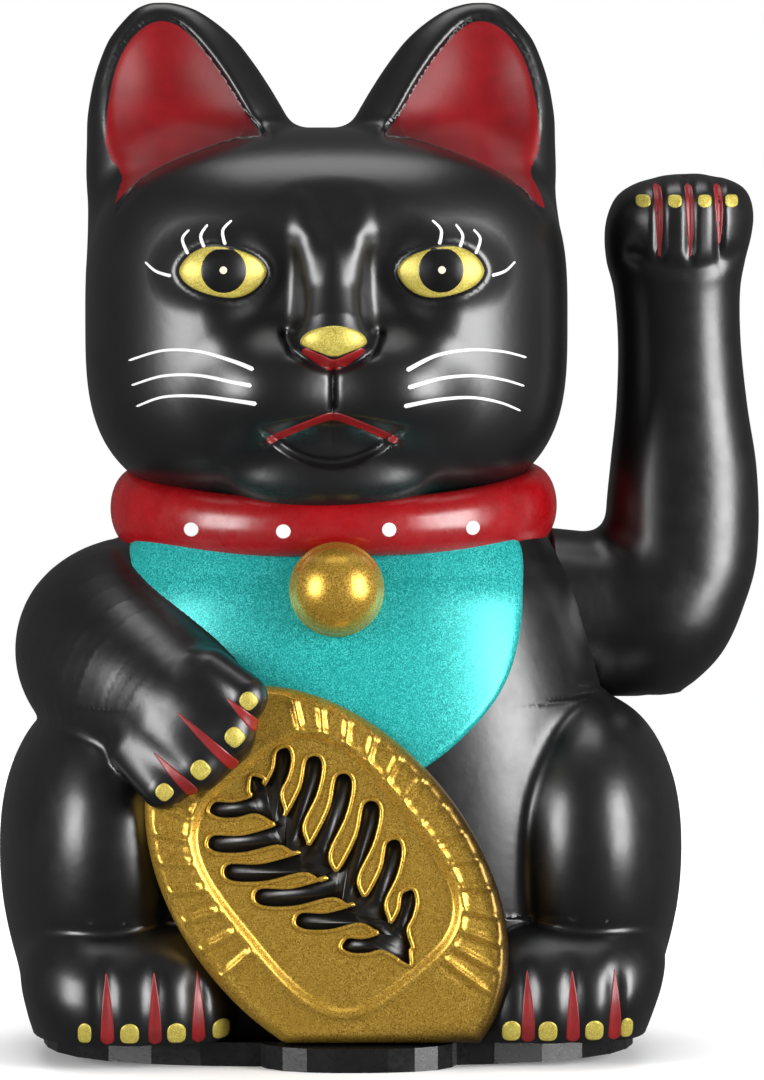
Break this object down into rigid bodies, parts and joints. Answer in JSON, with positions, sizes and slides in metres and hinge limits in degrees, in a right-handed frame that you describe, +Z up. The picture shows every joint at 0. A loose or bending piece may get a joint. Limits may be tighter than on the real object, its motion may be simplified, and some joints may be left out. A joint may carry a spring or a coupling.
{
  "type": "beckoning cat figurine",
  "caption": "Seated cat figurine with painted shells, an oval coin and one raised arm that swings on a shoulder axle above an electromagnetic pendulum drive.",
  "frame": {"origin": "middle of the underside of the base plate, on the surface it stands on", "axes": "+Z up through the head, -Y the way the cat looks, +X towards the raised arm"},
  "size_m": [0.1472, 0.1029, 0.2],
  "materials": {
    "painted_body": "satin black paint on moulded shells, with red, gold, white and teal painted details",
    "base": "fine moulded grain",
    "white_plastic": "natural white moulded plastic",
    "black_plastic": "black moulded plastic",
    "steel": "zinc-plated steel",
    "brass": "turned brass",
    "copper_wire": "enamelled copper winding",
    "circuit_board": "green solder mask",
    "magnet": "nickel-plated magnet",
    "cell_jacket": "plain dark jacket, no print",
    "lead_red": "red insulated lead",
    "lead_black": "black insulated lead"
  },
  "bodies": {
    "body": {"front_shell": "painted_body", "rear_shell": "painted_body", "base_plate": "base", "base_screw_1": "steel", "base_screw_2": "steel", "base_screw_3": "steel", "base_screw_4": "steel", "battery_cell": "cell_jacket", "battery_spring": "steel", "battery_contact": "steel", "switch_housing": "black_plastic", "circuit_board": "circuit_board", "drive_transistor": "black_plastic", "capacitor": "cell_jacket", "board_screw_1": "steel", "board_screw_2": "steel", "coil_bobbin": "white_plastic", "coil_winding": "copper_wire", "mechanism_frame": "white_plastic", "frame_screw_1": "steel", "frame_screw_2": "steel", "bearing_bush_inner": "brass", "bearing_bush_outer": "brass", "lead_coil": "lead_red", "lead_battery_plus": "lead_red", "lead_battery_minus": "lead_black", "lead_switch": "lead_red"},
    "arm": {"arm_front_shell": "painted_body", "arm_rear_shell": "painted_body", "arm_hub": "white_plastic", "pivot_axle": "steel", "axle_clip_inner": "steel", "axle_clip_outer": "steel", "pendulum_lever": "white_plastic", "pendulum_magnet": "magnet", "counterweight": "steel", "counterweight_screw": "steel"},
    "door": {"battery_door": "base"},
    "switch": {"switch_knob": "white_plastic"}
  },
  "joints": [
    {"name": "arm_swing", "type": "hinge", "parent": "body", "child": "arm", "pos_m": [0.0413, 0.004, 0.0823], "axis": [1, 0, 0], "range_deg": [-16, 16]},
    {"name": "door_slide", "type": "slide", "parent": "body", "child": "door", "axis": [0, 1, 0], "range_m": [0, 0.03]},
    {"name": "switch_slide", "type": "slide", "parent": "body", "child": "switch", "axis": [1, 0, 0], "range_m": [0, 0.003]}
  ]
}
